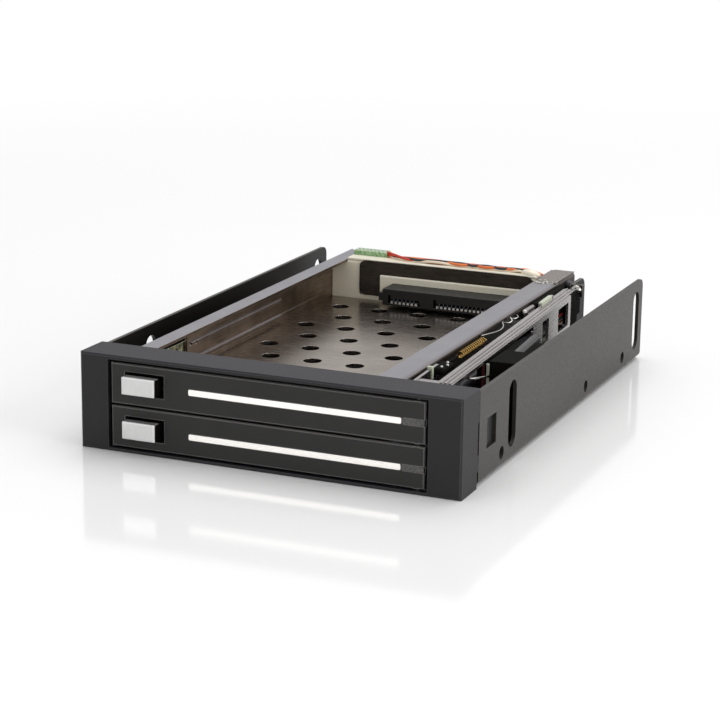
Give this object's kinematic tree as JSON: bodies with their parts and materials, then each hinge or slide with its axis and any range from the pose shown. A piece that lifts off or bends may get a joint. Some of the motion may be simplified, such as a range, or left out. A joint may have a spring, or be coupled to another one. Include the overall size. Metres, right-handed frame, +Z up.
{
  "type": "hot swap drive cage",
  "caption": "Hot swap drive cage for a front bay: a folded steel tray behind a black bezel with hinged doors, push buttons, ejector slides on springs and rear connectors.",
  "frame": {"origin": "at mid width and mid depth, level with the bottom of the bezel", "axes": "+X to the right across the front, +Y to the rear along the bays, +Z up; the doors face -Y"},
  "size_m": [0.1016, 0.1498, 0.0247],
  "materials": {
    "black_steel": "satin black powder coat",
    "bezel_plastic": "fine textured black",
    "guide_plastic": "smooth black",
    "bright_steel": "cold rolled, bright",
    "slide_steel": "rolled with lengthwise ribs",
    "crank_steel": "cast, blackened",
    "spring_steel": "bright spring temper",
    "brass_wire": "drawn wire",
    "contact_gold": "plated",
    "cream_plastic": "moulded cream",
    "connector_black": "moulded black",
    "foam": "dark foam",
    "board_green": "solder mask",
    "grey_bracket": "matte grey",
    "screw_steel": "plated",
    "silver_trim": "satin silver",
    "smoked_lens": "clear smoked",
    "lamp_clear": "clear cast",
    "wire_red": "insulation",
    "wire_black": "insulation",
    "wire_orange": "insulation",
    "glue": "hot melt"
  },
  "bodies": {
    "cage": {"backplane_board": "board_green", "bezel": "bezel_plastic", "board_header": "cream_plastic", "board_screws": "screw_steel", "cage_end_bracket": "grey_bracket", "chassis": "black_steel", "connector_contacts_lower": "contact_gold", "connector_contacts_upper": "contact_gold", "connector_frame": "cream_plastic", "connector_gasket_lower": "foam", "connector_gasket_upper": "foam", "connector_seat_lower": "cream_plastic", "connector_seat_upper": "cream_plastic", "data_socket_lower": "connector_black", "data_socket_upper": "connector_black", "drive_connector_lower": "connector_black", "drive_connector_upper": "connector_black", "drive_shelf": "bright_steel", "floor_screws": "screw_steel", "glue_blob": "glue", "hinge_pin": "screw_steel", "inner_cage": "bright_steel", "lamp_board": "board_green", "latch_leaf_lower": "spring_steel", "latch_leaf_upper": "spring_steel", "lead_black": "wire_black", "lead_orange": "wire_orange", "lead_red": "wire_red", "leaf_rivets": "screw_steel", "power_socket": "connector_black", "slide_guide": "guide_plastic", "slide_spring_lower": "brass_wire", "slide_spring_upper": "brass_wire", "status_lamps": "lamp_clear", "stop_bracket": "black_steel", "stop_screw": "screw_steel"},
    "door_upper": {"door_upper": "bezel_plastic", "door_strip_upper": "silver_trim", "lamp_lens_upper": "smoked_lens", "door_hook_upper": "spring_steel", "door_crank_upper": "crank_steel", "button_spring_upper": "spring_steel"},
    "button_upper": {"button_upper": "silver_trim"},
    "slide_upper": {"ejector_slide_upper": "slide_steel", "ejector_foot_upper": "guide_plastic"},
    "door_lower": {"door_lower": "bezel_plastic", "door_strip_lower": "silver_trim", "lamp_lens_lower": "smoked_lens", "door_hook_lower": "spring_steel", "door_crank_lower": "crank_steel", "button_spring_lower": "spring_steel"},
    "button_lower": {"button_lower": "silver_trim"},
    "slide_lower": {"ejector_slide_lower": "slide_steel", "ejector_foot_lower": "guide_plastic"}
  },
  "joints": [
    {"name": "door_upper_hinge", "type": "hinge", "parent": "cage", "child": "door_upper", "pos_m": [0.0392, -0.0706, 0.01765], "axis": [0, 0, 1], "range_deg": [0, 95], "stiffness_Nm_per_rad": 0.002, "springref_deg": -148.97, "deforming": ["latch_leaf_upper"]},
    {"name": "slide_upper_travel", "type": "slide", "parent": "cage", "child": "slide_upper", "axis": [0.0384, -0.9993, 0], "range_m": [0, 0.0096], "deforming": ["slide_spring_upper"]},
    {"name": "button_upper_press", "type": "slide", "parent": "door_upper", "child": "button_upper", "axis": [0, 1, 0], "range_m": [0, 0.0012], "stiffness_N_per_m": 500, "springref_m": -0.0006, "deforming": ["button_spring_upper"]},
    {"name": "door_lower_hinge", "type": "hinge", "parent": "cage", "child": "door_lower", "pos_m": [0.0392, -0.0706, 0.0063], "axis": [0, 0, 1], "range_deg": [0, 95], "stiffness_Nm_per_rad": 0.002, "springref_deg": -148.97, "deforming": ["latch_leaf_lower"]},
    {"name": "slide_lower_travel", "type": "slide", "parent": "cage", "child": "slide_lower", "axis": [0.0384, -0.9993, 0], "range_m": [0, 0.0096], "deforming": ["slide_spring_lower"]},
    {"name": "button_lower_press", "type": "slide", "parent": "door_lower", "child": "button_lower", "axis": [0, 1, 0], "range_m": [0, 0.0012], "stiffness_N_per_m": 500, "springref_m": -0.0006, "deforming": ["button_spring_lower"]}
  ],
  "couplings": [
    {"joint": "slide_upper_travel", "follows": "door_upper_hinge", "m_per_rad": 0.0057806},
    {"joint": "slide_lower_travel", "follows": "door_lower_hinge", "m_per_rad": 0.0057806}
  ]
}
